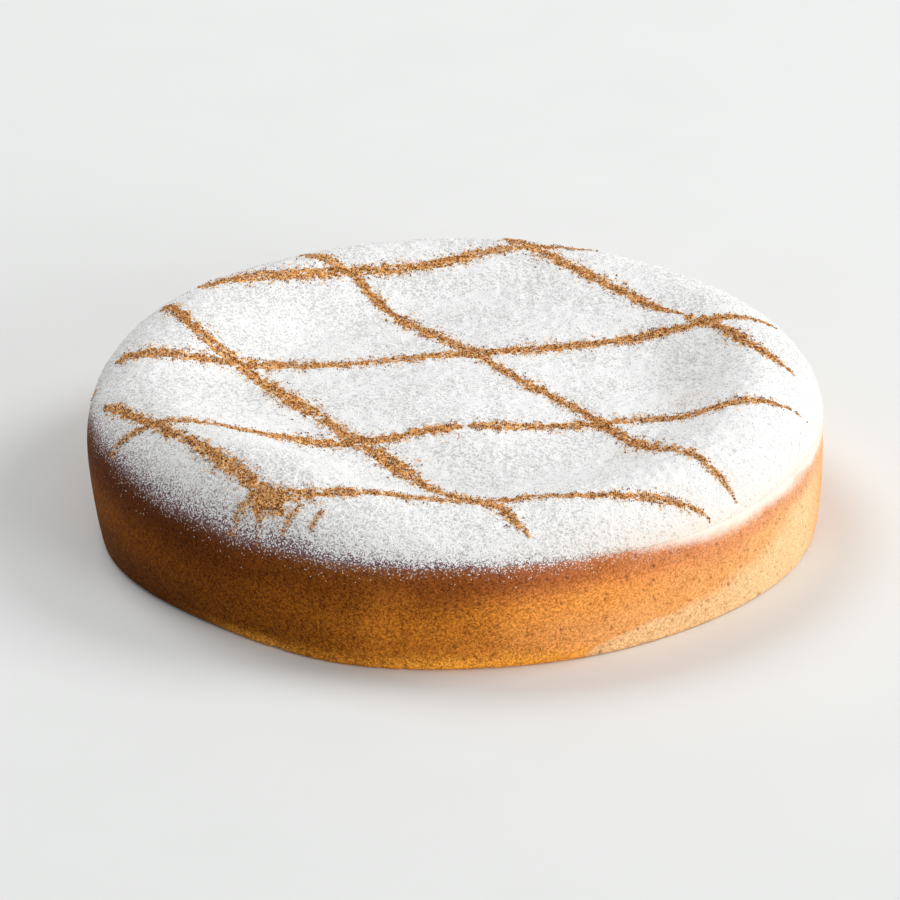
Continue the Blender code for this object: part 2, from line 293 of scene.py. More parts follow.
def distance_below(angle, reach):
    """Distance down from the sugar's edge in mm, negative above it, wandering a little along the edge."""
    points = form_points(angle, reach)
    above = (reach - 1) * REACH_LENGTH
    below = (sugar_edge_height(angle) - points[..., 2]) / MM
    wander = layered_noise(points, FADE_WANDER, seed=11)
    return np.where(reach < 1, above, below) + wander - bells(angle, FADE_SHIFTS)


def cover_at(angle, reach):
    """Share of the crust that sugar hides: 1 / (1 + exp(distance below / width)).

    On one side the fade is wider, and the shoulder above it is thinly covered too. Towards the palest
    side it is a haze.
    """
    below = distance_below(angle, reach)
    side = bell_round(angle, FADE_WIDER_ANGLE, FADE_WIDER_SPREAD)
    thin = SHOULDER_THINNING * (THIN_ALL_ROUND + (1 - THIN_ALL_ROUND) * side)
    thin = thin * np.exp(np.minimum(below, 0) / THINNING_HEIGHT)
    width = FADE_WIDTH + FADE_WIDER * side + HAZE_WIDER * bell_round(angle, HAZE_ANGLE, HAZE_SPREAD)
    return (1 - thin) / (1 + np.exp(below / width))


def hazy(angle):
    """Where the sugar ends in a smooth cream haze: 1 around the haze's angle, 0 farther away."""
    return 1 - smooth_step(np.abs(degrees_from(angle, HAZE_ANGLE)), *HAZE_SIDES)


crest_cover = cover_at(np.radians([45, 135, 225, 315]), np.full(4, 0.75))
print("cover at the crest, round the cake:", crest_cover.round(2))

# %% [markdown]
# ## The browning, and painted light and shade
#
# The crust isn't one colour. One side is a deep brown and the far side is pale gold: partly real
# browning, and partly painted shade on the side away from the lights and painted highlight on the lit
# side. A dark ring runs just under the sugar, where the batter met the air, and turns to a faint blush
# on the way round. Along the near foot a band of painted light stands in for light thrown up from
# below, and low on the brown side the wall is darkened by painted shade. This could be painted by
# hand, but a formula stays sharp at any size: each tone is a share worked out from angle and height.
# A pair called sides is the angles between which a tone changes; other pairs are (centre, spread).

# %% Browning from side to side, partly painted shade and painted highlight
# The side browned most; it lies away from the lights, so its darkness is partly painted shade.
BROWNED_AND_SHADED_SIDE = 210
CLOUDS = [(26, 1.0), (9, 0.6)]
MOTTLES = [(6, 0.7), (2.4, 0.6)]
CLOUD_SHIFT = 5
GOLD_TRACE_SIDES = (15, 30)
GOLD_SIDES = (35, 87)
GOLD_PATCH = (261, 6)
PALE_SIDES = (55, 145)
PALE_PATCH = (291, 9)
FAR_END = (351, 9)


def turned_away(angle):
    """Degrees round the cake from the side that is browned most and painted darkest as shade, the shorter
    way: 0 to 180.
    """
    return np.abs(degrees_from(angle, BROWNED_AND_SHADED_SIDE))


def gold_share(angle, height, cloud):
    """Gold instead of deep brown, partly painted light: rises round the cake towards the lit side, with a
    trace of it early and more at one place.
    """
    turned = turned_away(angle)
    gold = 0.05 * smooth_step(turned, *GOLD_TRACE_SIDES)
    gold = gold + 0.95 * smooth_step(turned + CLOUD_SHIFT * cloud, *GOLD_SIDES)
    return gold + 0.13 * bell_round(angle, *GOLD_PATCH) * (1 - smooth_step(height, 14, 22))


def pale_share(angle, height, cloud):
    """Pale gold instead of gold, partly painted highlight: rises round the cake towards the lit side, less at
    its far end and more at one low place.
    """
    far_end = bell_round(angle, *FAR_END) * (1 - smooth_step(height, 16, 30))
    pale = smooth_step(turned_away(angle) + CLOUD_SHIFT * cloud, *PALE_SIDES) * (1 - 0.35 * far_end)
    return pale + 0.2 * bell_round(angle, *PALE_PATCH) * (1 - smooth_step(height, 12, 24))


# %% Bands under the sugar
RING_STRENGTH = 0.78
RING_SIDES = (52, 118)
RING_DEPTHS = (19, 9)
RING_DEPTH_SIDES = (30, 105)
RING_DEEPER = [(6, 230, 8)]
RING_PALER = [(0.42, 248, 10), (0.1, 270, 6)]
BLUSH_DEPTHS = (19, 9)
BLUSH_DEPTH_SIDES = (95, 120)
BLUSH_START_SIDES = (48, 72)
BLUSH_END_SIDES = (125, 145)


def ring_share(angle, below):
    """The dark ring: whole down to 0.4 of its depth, none below 1.35 of it, and fading round the cake."""
    turned = turned_away(angle)
    deep, shallow = RING_DEPTHS
    depth = deep + (shallow - deep) * smooth_step(turned, *RING_DEPTH_SIDES) + bells(angle, RING_DEEPER)
    ring = RING_STRENGTH * (1 - smooth_step(turned, *RING_SIDES))
    ring = ring * (1 - smooth_step(below, 0.4 * depth, 1.35 * depth))
    return ring * (1 - bells(angle, RING_PALER))


def blush_share(angle, below):
    """The reddish band that takes over where the dark ring fades, down to its own depth."""
    turned = turned_away(angle)
    deep, shallow = BLUSH_DEPTHS
    depth = deep + (shallow - deep) * smooth_step(turned, *BLUSH_DEPTH_SIDES)
    blush = smooth_step(turned, *BLUSH_START_SIDES) * (1 - smooth_step(turned, *BLUSH_END_SIDES))
    return blush * (1 - smooth_step(below, 0.35 * depth, depth))


# %% Tints along the foot, with painted light and painted shade
LIT_FOOT = (278, 18)
LIT_FOOT_LINE = (238, 7)
SHADED_FOOT = (212, 18)
SHADED_FOOT_PATCHES = [(0.25, 250, 6), (0.18, 270, 7)]
LIGHT_CLIMBS = [(12, 284, 302), (14, 302, 334), (14, 325, 345)]
LIGHT_SOFTER_SIDES = (300, 320)
LIGHT_FULL_SIDES = (312, 325)
LIGHT_END_SIDES = (338, 352)


def painted_foot_light_share(angle, height, fine):
    """Painted light along the near foot, for light thrown up from below: gold that melts into the wall, and a
    short sharper line of it beside that.
    """
    gold = bell_round(angle, *LIT_FOOT) * (1 - smooth_step(height + 1.6 * fine, 0, 9))
    return gold + 0.85 * bell_round(angle, *LIT_FOOT_LINE) * (1 - smooth_step(height + 0.5 * fine, 2, 5.5))


def painted_foot_shade_share(angle, height, fine):
    """Painted shade low on the wall, darkest at the side that browned most, with two weaker patches of it."""
    low = 1 - smooth_step(height + fine, 6, 28)
    return low * (bell_round(angle, *SHADED_FOOT) + bells(angle, SHADED_FOOT_PATCHES) * smooth_step(height, 3, 7))


def light_side_share(angle, height, cloud, fine):
    """The light band from the foot up to an edge that climbs: the sum of rise * step over its climbs.

    A climb is (rise in mm, first angle, last angle). The edge gets softer as it climbs.
    """
    degrees = np.degrees(angle)
    climb = sum(rise * smooth_step(degrees, first, last) for rise, first, last in LIGHT_CLIMBS)
    softness = 2 + 9 * smooth_step(degrees, *LIGHT_SOFTER_SIDES)
    edge = climb - 1.5 + 0.35 * softness + 1.6 * cloud + 0.5 * fine
    light = smooth_step((edge - height) / softness, 0, 1) * (1 - smooth_step(degrees, *LIGHT_END_SIDES))
    return light * (0.85 + 0.15 * smooth_step(degrees, *LIGHT_FULL_SIDES))


# %% All tones
def crust_tones(angle, reach):
    """Every share that the crust's colour is mixed from, by name."""
    points = form_points(angle, reach)
    height = points[..., 2] / MM
    cloud = layered_noise(points, CLOUDS, seed=31)
    fine = layered_noise(points, MOTTLES, seed=35)
    below = distance_below(angle, reach) + 1.5 * cloud + 0.9 * fine
    return {
        "gold": gold_share(angle, height, cloud),
        "pale": pale_share(angle, height, cloud),
        "haze": hazy(angle),
        "ring": ring_share(angle, below),
        "blush": blush_share(angle, below),
        "painted_foot_light": painted_foot_light_share(angle, height, fine),
        "painted_foot_shade": painted_foot_shade_share(angle, height, fine),
        "light_side": light_side_share(angle, height, cloud, fine),
    }


# %% [markdown]
# ## The crust
#
# The crust is one closed surface: the top that the sugar hides, the wall, the rounded foot and the
# flat underside. The wall is the part that shows, so most rows lie there. Its relief only goes
# inwards, which keeps the cake's true size. Small bubbles burst in the batter and left pits: a
# random few of the grid's points are pushed in, and the same numbers darken the colour there.

# %% Rows and pits of the crust
CRUST_COLUMNS = 1360
HIDDEN_REACHES = np.linspace(0.1, 0.97, 10)
WALL_ROWS = 57
PIT_SHARE = 0.014
PITTED_SIDE = 290
PITTED_SPREAD = 55


def crust_reaches():
    """Reaches from under the sugar to the foot, the wall's own rows at even steps of height."""
    shoulder = np.linspace(0.985, WIDEST_REACH, WALL_ROWS * 3 // 10, endpoint=False)
    wall = np.linspace(WIDEST_REACH, 2, WALL_ROWS - len(shoulder))
    return np.concatenate([HIDDEN_REACHES, shoulder, wall])


def wall_pits(angle, reach, random):
    """Depth of the pits from 0 to 1: single points pushed in, and a third of that beside them."""
    busy = 0.35 + 0.65 * bell_round(angle, PITTED_SIDE, PITTED_SPREAD)
    shown = smooth_step(reach, 1.02, 1.12)
    chosen = random.uniform(size=reach.shape) < PIT_SHARE * busy * shown
    deep = chosen * random.uniform(0.35, 1, reach.shape)
    beside = np.roll(deep, 1, 1) + np.roll(deep, -1, 1)
    beside[1:] += deep[:-1]
    beside[:-1] += deep[1:]
    return np.clip(deep + 0.3 * beside, 0, 1)


# %% Relief of the crust
RIM_SUGAR_DEPTH = 1.9 * MM
BOWL_SUGAR_DEPTH = 3.6 * MM
CRUST_DIPS = [(30, 0.35), (9, 0.12), (2.2, 0.05)]
PIT_DEPTH = 0.45 * MM
FOOT_CHIPS = [(9, 0.6), (3, 0.7), (1.3, 0.4)]
CHIP_DEPTH = 1.3 * MM


def inward_relief(flat, reach, pits):
    """How far the crust lies inside the form: sunk under the sugar, then dips, pits and a chipped foot."""
    dips = 0.25 + 0.5 * layered_noise(flat, CRUST_DIPS, seed=21)
    chips = np.clip(layered_noise(flat, FOOT_CHIPS, seed=25) - 0.25, 0, 1)
    sunk = RIM_SUGAR_DEPTH * smooth_step(reach, 1.0, 0.94)
    sunk = sunk + (BOWL_SUGAR_DEPTH - RIM_SUGAR_DEPTH) * smooth_step(reach, 0.95, 0.8)
    inward = sunk + MM * dips * smooth_step(reach, 1.0, 1.1) + PIT_DEPTH * pits
    return inward + CHIP_DEPTH * chips * smooth_step(reach, 1.93, 2)


# %% Foot and underside
FOOT_TURNS = np.radians([30, 60, 90])
UNDERSIDE_SHARES = np.array([0.97, 0.5])


def foot_and_underside(lowest, angle):
    """Rings below the wall's lowest one: a quarter of a circle round the foot, then flat rings inwards."""
    radius = np.hypot(lowest[:, 0], lowest[:, 1])
    curled = radius - FOOT_ROUND * (1 - np.cos(FOOT_TURNS[:, None]))
    inner = (radius - FOOT_ROUND) * UNDERSIDE_SHARES[:, None]
    curl_height = np.broadcast_to(FOOT_ROUND * (1 - np.sin(FOOT_TURNS[:, None])), curled.shape)
    rings = np.concatenate([curled, inner])
    height = np.concatenate([curl_height, 0 * inner])
    return np.stack([rings * np.cos(angle), rings * np.sin(angle), height], axis=-1)


# %% Crust
def crust():
    """The closed crust, with what its colour needs stored at each point."""
    angle, reach = np.meshgrid(np.linspace(0, 2 * np.pi, CRUST_COLUMNS, endpoint=False), crust_reaches())
    pits = wall_pits(angle, reach, np.random.default_rng(3))
    wall = form_points(angle, reach, -inward_relief(form_points(angle, reach), reach, pits))
    grid = np.concatenate([wall, foot_and_underside(wall[-1], angle[0])])
    centres = [[0, 0, top_height(0, 0) - BOWL_SUGAR_DEPTH], [0, 0, 0]]
    rows = len(grid)
    ring = np.arange(CRUST_COLUMNS)
    last_ring = (rows - 1) * CRUST_COLUMNS + ring
    faces = [grid_faces(rows, CRUST_COLUMNS), fan_faces(rows * CRUST_COLUMNS, ring),
             fan_faces(rows * CRUST_COLUMNS + 1, last_ring[::-1])]

    def stored(values):
        """A measure at every point: the foot's values go on underneath, with their mean at the centres."""
        beyond = np.tile(values[-1], rows - len(values))
        return np.concatenate([values.ravel(), beyond, np.full(2, values[-1].mean())])

    measures = {"cover": cover_at(angle, reach), "pit": pits, **crust_tones(angle, reach)}
    measures = {name: stored(values) for name, values in measures.items()}
    return make_mesh("baked_crust", np.concatenate([grid.reshape(-1, 3), centres]), faces, **measures)


baked_crust = crust()

# %% [markdown]
# ## The icing sugar
#
# The sugar needs points at even distances all over a disc. A polar grid would crowd them at the
# centre, so a square grid is wrapped onto the disc instead: each square ring becomes a round ring,
# and its corners end on the diagonals. Lumps of several sizes roughen it. Rings of a coarser
# underside close it below.

# %% Sugar surface
SUGAR_CELLS = 244
SUGAR_LUMPS = [(22, 0.28), (9, 0.2), (3.6, 0.32), (1.8, 0.4)]
SUGAR_SETTLED = 0.95 * MM
TUCK = 0.12 * MM


def sugar_surface(angle, reach, lift=0):
    """The form roughened by lumps, which die away towards the edge, where the last row is tucked in."""
    flat = form_points(angle, reach)
    thick = 1 - smooth_step(reach, 0.72, 0.99)
    settled = SUGAR_SETTLED * (1 - smooth_step(reach, 0.85, 0.96))
    lumps = layered_noise(flat, SUGAR_LUMPS, seed=41) * MM * (0.35 + 0.65 * thick) - settled
    tuck = TUCK * smooth_step(reach, 0.985, 1)
    return form_points(angle, reach, lumps * (1 - smooth_step(reach, 0.95, 1)) - tuck + lift)


def square_to_disc(cells):
    """Angle and reach of a square grid wrapped onto a disc: reach is the larger of |u| and |v|."""
    side = np.linspace(-1, 1, cells + 1)
    u, v = np.meshgrid(side, side)
    wide = np.abs(u) > np.abs(v)
    ring = np.where(wide, u, v)
    safe = np.where(ring == 0, 1, ring)
    turn = np.where(wide, np.pi / 4 * v / safe, np.pi / 2 - np.pi / 4 * u / safe)
    return np.arctan2(ring * np.sin(turn), ring * np.cos(turn)), np.abs(ring)


# %% Sugar's own measures
THIN_SPOTS = [(65, -58), (86, -22), (82, -99), (99, -83)]
THIN_SPOT_SIZE = 7 * MM


def sugar_measures(angle, reach, points):
    """What the sugar's colour needs at each point; the hidden underside has 1 for all but the stains.

    A stain is a bell curve round each thin spot: exp(-(distance / size)^2), the largest of them.
    """
    hidden = np.ones(len(points) - reach.size)
    shares = {
        "cover": cover_at(angle, reach),
        # The lit side, where the crust under thin sugar is painted paler, partly as painted light.
        "gold": smooth_step(turned_away(angle), 55, 110),
        "haze": hazy(angle) * smooth_step(reach, 0.5, 0.75),
    }
    measures = {name: np.concatenate([share.ravel(), hidden]) for name, share in shares.items()}
    away = points[:, None, :2] - np.array(THIN_SPOTS) * MM
    measures["stain"] = np.exp(-((away / THIN_SPOT_SIZE) ** 2).sum(-1)).max(1)
    return measures


# %% Sugar skin
UNDER_REACHES = np.linspace(0.985, 0.08, 13)
UNDER_DEPTH = 2.6 * MM
RIM_DEPTH = 0.2 * MM


def sugar():
    """The closed skin of sugar: the fine top, and below it rings that start from the same rim.

    Only the top is shaded smooth, so that its rim isn't darkened by the faces that turn under.
    """
    angle, reach = square_to_disc(SUGAR_CELLS)
    top = sugar_surface(angle, reach)
    number = np.arange(reach.size).reshape(reach.shape)
    tops = np.stack([number[:-1, :-1], number[:-1, 1:], number[1:, 1:], number[1:, :-1]], axis=-1)
    rim = np.concatenate([number[0, :-1], number[:-1, -1], number[-1, :0:-1], number[:0:-1, 0]])

    under_angle, under_reach = np.meshgrid(angle.ravel()[rim], UNDER_REACHES)
    depth = RIM_DEPTH + (UNDER_DEPTH - RIM_DEPTH) * smooth_step(under_reach, 1.0, 0.86)
    under = form_points(under_angle, under_reach, -depth)
    first = reach.size
    centre = first + under_reach.size
    last_ring = centre - len(rim) + np.arange(len(rim))
    joined = np.stack([rim, first + np.arange(len(rim))])
    strip = np.stack([joined[0], joined[1], np.roll(joined[1], -1), np.roll(joined[0], -1)], axis=-1)
    faces = [tops.reshape(-1, 4), strip, grid_faces(len(UNDER_REACHES), len(rim), first),
             fan_faces(centre, last_ring)]
    centre_point = [[0, 0, top_height(0, 0) - UNDER_DEPTH]]
    points = np.concatenate([top.reshape(-1, 3), under.reshape(-1, 3), centre_point])
    made = make_mesh("icing_sugar", points, faces, **sugar_measures(angle, reach, points))
    made.data.polygons.foreach_set("use_smooth", np.arange(len(made.data.polygons)) < len(faces[0]))
    return made


icing_sugar = sugar()

# %% [markdown]
# ## Where a point of the top lies
#
# The cinnamon is drawn in plan, as seen from above, so each of its points needs the reach that lies
# at its radius. That is the radius formula of the form solved backwards, in a few rounds, because
# the outline's small shift depends on the answer.

# %% From plan to form
SETTLING_ROUNDS = 4


def reach_at(angle, radius):
    """Reach of the top at this radius in plan: the shoulder's formula turned round, settled in rounds."""
    reach = np.full_like(radius, 0.5)
    for _ in range(SETTLING_ROUNDS):
        plain = radius - outline_shift(angle) * np.clip(reach, 0, 1)
        beyond = np.clip((plain - INNER_RADIUS) / SHOULDER_REACH, 0, 1)
        turn = np.arcsin(beyond ** (SHOULDER_POWER / 2))
        share = np.clip(turn / edge_turn(angle), 0, 1) ** (1 / SHOULDER_CROWDING)
        outer = FLAT_REACH + (1 - FLAT_REACH) * share
        reach = np.where(plain < INNER_RADIUS, FLAT_REACH * plain / INNER_RADIUS, outer)
    return reach


def on_the_sugar(plan, lift=0):
    """Points of the sugar's surface above places in plan, raised by lift."""
    angle = np.arctan2(plan[..., 1], plan[..., 0])
    return sugar_surface(angle, reach_at(angle, np.hypot(plan[..., 0], plan[..., 1])), lift)


# %% [markdown]
# ## The cinnamon lattice
#
# Ten strands of ground cinnamon, sprinkled from a pinched hand: five run one way and five across
# them. Painted on as a colour they would look flat from the side, so each is a low bank with ragged
# sides: a profile carried along a smooth curve through a few way points, which lies on the sugar's
# own surface. Its width wanders and its ends run out.
#
# A strand is (first width, last width, length of its thin end, way points in plan), all in mm.

# %% Strands
STRANDS = [
    (5.4, 6.2, 3, [(-131, -19), (-111, -51), (-98, -70), (-86, -87), (-72, -104), (-61, -117)]),
    (7.2, 6.4, 10, [(-114, 57), (-100, 32), (-84, 16), (-67, -8), (-42, -39), (-17, -67), (0, -101),
                    (14, -112), (26, -128)]),
    (6.8, 7.0, 20, [(-62, 106), (-39, 85), (-20, 57), (1, 32), (23, 1), (44, -23), (67, -52), (85, -71),
                    (101, -91)]),
    (8.6, 7.2, 22, [(19, 122), (38, 99), (59, 73), (76, 52), (88, 42)]),
    (6.8, 5.4, 18, [(89, 41), (102, 25), (111, 8), (128, -10)]),
    (11.5, 7.4, 18, [(-101, 71), (-77, 79), (-43, 89), (-6, 97), (13, 105), (31, 108), (57, 110)]),
    (9.6, 7.2, 18, [(-130, 16), (-104, 12), (-77, 17), (-48, 18), (-6, 23), (34, 26), (68, 31), (99, 33),
                    (124, 33)]),
    (6.0, 8.2, 2, [(-112, -50), (-88, -51), (-65, -45), (-37, -46), (3, -41)]),
    (6.4, 6.4, 30, [(5, -41), (41, -37), (72, -34), (88, -36), (105, -35), (131, -34)]),
    (7.4, 7.2, 20, [(-72, -111), (-44, -111), (-18, -107), (8, -108), (28, -104), (44, -105), (69, -103),
                    (91, -102)]),
]
STRAND_UNEVENNESS = 0.45
STRAND_WANDER = [(31, 0.6), (11, 0.6), (4, 0.4)]
STRAND_STEP = 0.75 * MM
STRAND_START = 3 * MM
FIRST_STRAND_SEED = 100
CURVE_PARTS = 40


def smooth_route(way_points, step):
    """Even steps along the Catmull-Rom curve through the way points: places, ways it runs and distances."""
    knots = np.array(way_points, float) * MM
    knots = np.vstack([2 * knots[0] - knots[1], knots, 2 * knots[-1] - knots[-2]])
    along = np.linspace(0, 1, CURVE_PARTS, endpoint=False)[:, None]
    pieces = []
    for a, b, c, d in zip(knots, knots[1:], knots[2:], knots[3:]):
        bend = (2 * a - 5 * b + 4 * c - d) * along**2 + (3 * b - a - 3 * c + d) * along**3
        pieces.append(b + 0.5 * ((c - a) * along + bend))
    fine = np.vstack([*pieces, knots[-2]])
    lengths = np.concatenate([[0], np.cumsum(np.hypot(*np.diff(fine, axis=0).T))])
    stops = np.linspace(0, lengths[-1], round(lengths[-1] / step) + 1)
    route = np.stack([np.interp(stops, lengths, fine[:, axis]) for axis in (0, 1)], axis=1)
    way = np.gradient(route, axis=0)
    return route, way / np.hypot(*way.T)[:, None], stops


def half_width(stops, first, last, run_out, seed):
    """Half a strand's width: from its first to its last width, wandering, and running out at its ends."""
    line = np.stack([stops, 0 * stops + seed * MM, 0 * stops], axis=-1)
    wander = STRAND_UNEVENNESS * layered_noise(line, STRAND_WANDER, seed)
    start = np.clip(stops / STRAND_START, 0.04, 1) ** 0.5
    end = np.clip((stops[-1] - stops) / (run_out * MM), 0.03, 1) ** 0.65
    return MM / 2 * (first + (last - first) * stops / stops[-1]) * (1 + wander) * start * end


# %% Banks of cinnamon
BANK_SHARE = 0.84
BANK_HEIGHT = 0.2 * MM
BANK_SETTLED = 0.12 * MM
BANK_SUNK = 0.35 * MM
BANK_COLUMNS = 11
BANK_FRAYS = [(3, 0.5), (1.2, 0.8)]
BANK_LUMPS = [(1.6, 0.7), (0.9, 0.5)]


def bank(first, last, run_out, way_points, seed):
    """One strand as rings of points: the top is 1 - across^4 high, and the last three points lie below."""
    route, way, stops = smooth_route(way_points, STRAND_STEP)
    side = np.stack([-way[:, 1], way[:, 0]], axis=-1)
    across = np.concatenate([np.linspace(-1, 1, BANK_COLUMNS), [0.6, 0, -0.6]])
    above = np.arange(len(across)) < BANK_COLUMNS
    half = BANK_SHARE * half_width(stops, first, last, run_out, seed)[:, None]
    plan = route[:, None] + side[:, None] * (across * half)[..., None]
    flat = np.concatenate([plan, 0 * plan[..., :1]], axis=-1)
    ragged = layered_noise(flat, BANK_FRAYS, seed + 50) * MM
    plan = plan + side[:, None] * (ragged * across**2 * np.minimum(half / (2 * MM), 1))[..., None]
    rough = 1 + layered_noise(flat, BANK_LUMPS, seed + 70)
    raised = BANK_HEIGHT * rough * (1 - across**4) - BANK_SETTLED
    return on_the_sugar(plan, np.where(above, raised, -BANK_SUNK))


def cinnamon_banks():
    """All strands in one mesh, each a tube of rings with its two ends closed."""
    points, faces, first = [], [], 0
    for seed, strand in enumerate(STRANDS):
        rings = bank(*strand, FIRST_STRAND_SEED + seed)
        rows, columns = rings.shape[:2]
        count = rows * columns
        points += [rings.reshape(-1, 3), rings[0].mean(0)[None], rings[-1].mean(0)[None]]
        ring = np.arange(columns)
        faces += [grid_faces(rows, columns, first), fan_faces(first + count, first + ring),
                  fan_faces(first + count + 1, (first + count - columns + ring)[::-1])]
        first += count + 2
    return make_mesh("cinnamon_banks", np.concatenate(points), faces)


cinnamon_bank = cinnamon_banks()

# %% [markdown]
# ## Grains
#
# Powder looks like powder because of its grains, so there are real ones. A particle system could
# scatter them, but its grains wouldn't be part of any mesh. Here each kind of grain is one mesh of
# thousands of tiny shards with four corners and four faces, each turned and sized at random.

# %% Scattering
SHARD = np.array([(1, 1, 1), (1, -1, -1), (-1, 1, -1), (-1, -1, 1)]) / np.sqrt(3)
SHARD_FACES = np.array([(0, 1, 2), (0, 3, 1), (0, 2, 3), (1, 3, 2)])


def scatter(name, places, sizes, random):
    """One shard at each place: corners * size / 2, each drawn in a little, turned by a random rotation."""
    count = len(places)
    turns = np.linalg.qr(random.normal(size=(count, 3, 3)))[0]
    turns *= np.linalg.det(turns)[:, None, None]
    corners = SHARD * random.uniform(0.6, 1, (count, 4, 1))
    points = places[:, None] + sizes[:, None, None] / 2 * (corners @ turns)
    faces = SHARD_FACES + 4 * np.arange(count)[:, None, None]
    tint = np.repeat(random.uniform(0, 1, count), 4)
    return make_mesh(name, points, [faces.reshape(-1, 3)], smooth=False, tint=tint)


# %% [markdown]
# ## Grains of cinnamon
#
# Cinnamon falls in small clumps along a strand, thick in the middle and thin beside it, which makes
# the strand's edges ragged. A few short smears lie where the heap at one corner was dragged, a branch
# runs down the shoulder from the first strand, and a few grains lie on the shoulder alone. Each of
# them is (start, end, spread, count), with lengths in mm.

# %% Cinnamon grains
CINNAMON_GRAINS = 47000
CINNAMON_SIZES = (0.6 * MM, 1.3 * MM)
CINNAMON_LIFTS = (-0.15, 0.3)
CINNAMON_CLUMPS = [(3.2, 0.6), (1.4, 1.0)]
CLUMP_SEED = 90
STRAND_SPREAD = 0.62
OVERDRAW = 1.7
SMEARS = [
    ((-74, -107), (-60, -112), 1.8, 230),
    ((-72, -108), (-80, -111), 0.9, 260),
    ((-68, -112), (-70, -116), 1.3, 130),
    ((-55, -115), (-62, -121), 0.7, 200),
    ((-47, -118), (-51, -123), 0.7, 90),
    ((-108, -49), (-127, -54), 1.3, 620),
    ((-136.2, 3), (-137.8, -1), 0.4, 50),
]


def clumped(plan):
    """Chance that a grain stays: 0.5 plus soft noise, so that grains gather in clumps a few wide."""
    flat = np.concatenate([plan, 0 * plan[:, :1]], axis=1)
    return 0.5 + layered_noise(flat, CINNAMON_CLUMPS, CLUMP_SEED)


def strand_grains(random):
    """Places in plan along the strands: bell-shaped across each, thinned to clumps towards the sides."""
    routes = [smooth_route(strand[-1], STRAND_STEP) for strand in STRANDS]
    total = sum(stops[-1] for _, _, stops in routes)
    places = []
    for seed, (route, way, stops) in enumerate(routes):
        count = round(OVERDRAW * CINNAMON_GRAINS * stops[-1] / total)
        pick = random.integers(0, len(stops), count)
        half = half_width(stops, *STRANDS[seed][:-1], FIRST_STRAND_SEED + seed)[pick]
        across = STRAND_SPREAD * random.normal(size=count)
        side = np.stack([-way[pick, 1], way[pick, 0]], axis=-1)
        plan = route[pick] + side * (half * across)[:, None]
        stays = clumped(plan) + 0.5 * smooth_step(np.abs(across), 0.6, 0.1)
        places.append(plan[stays > random.uniform(size=count)])
    return random.permutation(np.concatenate(places))[:CINNAMON_GRAINS]


def smeared_grains(random):
    """Places in plan along the smears: start * (1 - along) + end * along, spread by a bell curve."""
    spots = []
    for start, end, spread, count in SMEARS:
        along = random.uniform(0, 1, (count, 1))
        line = np.array(start) * (1 - along) + np.array(end) * along
        spots.append(line + random.normal(0, spread, (count, 2)))
    return np.concatenate(spots) * MM


def cinnamon(random):
    """All grains of cinnamon, a little sunk into the sugar's surface or lifted from it."""
    plan = np.concatenate([strand_grains(random), smeared_grains(random)])
    plan = plan[np.hypot(plan[:, 0], plan[:, 1]) < 0.99 * WIDEST_RADIUS]
    places = on_the_sugar(plan, random.uniform(*CINNAMON_LIFTS, len(plan)) * MM)
    return scatter("cinnamon_grains", places, random.uniform(*CINNAMON_SIZES, len(plan)), random)


random = np.random.default_rng(7)
cinnamon_grains = cinnamon(random)

# %% [markdown]
# ## Grains of sugar
#
# The sugar's own surface is too even by itself. Clumps lie on it, most of them on the shoulder, and
# single grains lie where the cover fades and on down the wall, each with a chance that follows the
# cover. In the haze they are too fine to tell apart, so there most of them are left out.

# %% Sugar clumps
SUGAR_CLUMPS = 48500
CLUMP_SIZES = (0.7 * MM, 1.6 * MM)
CLUMP_SUNK = 0.12 * MM


def sugar_places(count, farthest, chance_at, random):
    """Angles and reaches spread evenly over a disc, each kept with the chance that its place gives."""
    drawn = 6 * count
    angle = random.uniform(0, 2 * np.pi, drawn)
    reach = farthest * np.sqrt(random.uniform(0, 1, drawn))
    cover = cover_at(angle, reach)
    kept = np.flatnonzero(random.uniform(size=len(angle)) < chance_at(cover, reach))[:count]
    return angle[kept], reach[kept], cover[kept]


def clump_chance(cover, reach):
    """Falls with the square of the cover, and is about three times as high on the shoulder."""
    return cover**2 * (0.16 + 0.3 * smooth_step(reach, 0.6, 0.85))


def clumps_of_sugar(random):
    """Clumps on the sugar, smaller where the cover is thin."""
    angle, reach, cover = sugar_places(SUGAR_CLUMPS, 1.0, clump_chance, random)
    sizes = random.uniform(*CLUMP_SIZES, len(reach)) * (0.5 + 0.5 * cover)
    return scatter("sugar_clumps", sugar_surface(angle, reach, -CLUMP_SUNK), sizes, random)


sugar_clumps = clumps_of_sugar(random)


# %% Single sugar grains
SUGAR_GRAINS = 48500
SUGAR_SIZES = (0.27 * MM, 0.62 * MM)
FRINGE_REACH = 1.34
FRINGE_SUNK = 0.25 * MM
HAZE_THINNING = 0.8


def grain_chance(cover, reach):
    """Nearly none on the top; on the shoulder and below it, the chance follows cover^1.3."""
    return cover**1.3 * (0.03 + 0.67 * smooth_step(reach, 0.8, 0.97))


def grains_of_sugar(random):
    """Single grains, from the shoulder to the last ones on the wall, with fewer of them in the haze."""
    angle, reach, cover = sugar_places(SUGAR_GRAINS, FRINGE_REACH, grain_chance, random)
    lost = hazy(angle) * HAZE_THINNING * smooth_step(reach, 0.9, 1)
    kept = lost < random.uniform(size=len(angle))
    angle, reach, cover = angle[kept], reach[kept], cover[kept]
    on_crust = form_points(angle, reach, -FRINGE_SUNK)
    places = np.where(reach[:, None] < 1, sugar_surface(angle, reach), on_crust)
    sizes = random.uniform(*SUGAR_SIZES, len(reach)) * (0.7 + 0.5 * cover)
    return scatter("sugar_grains", places, sizes, random)


sugar_grains = grains_of_sugar(random)

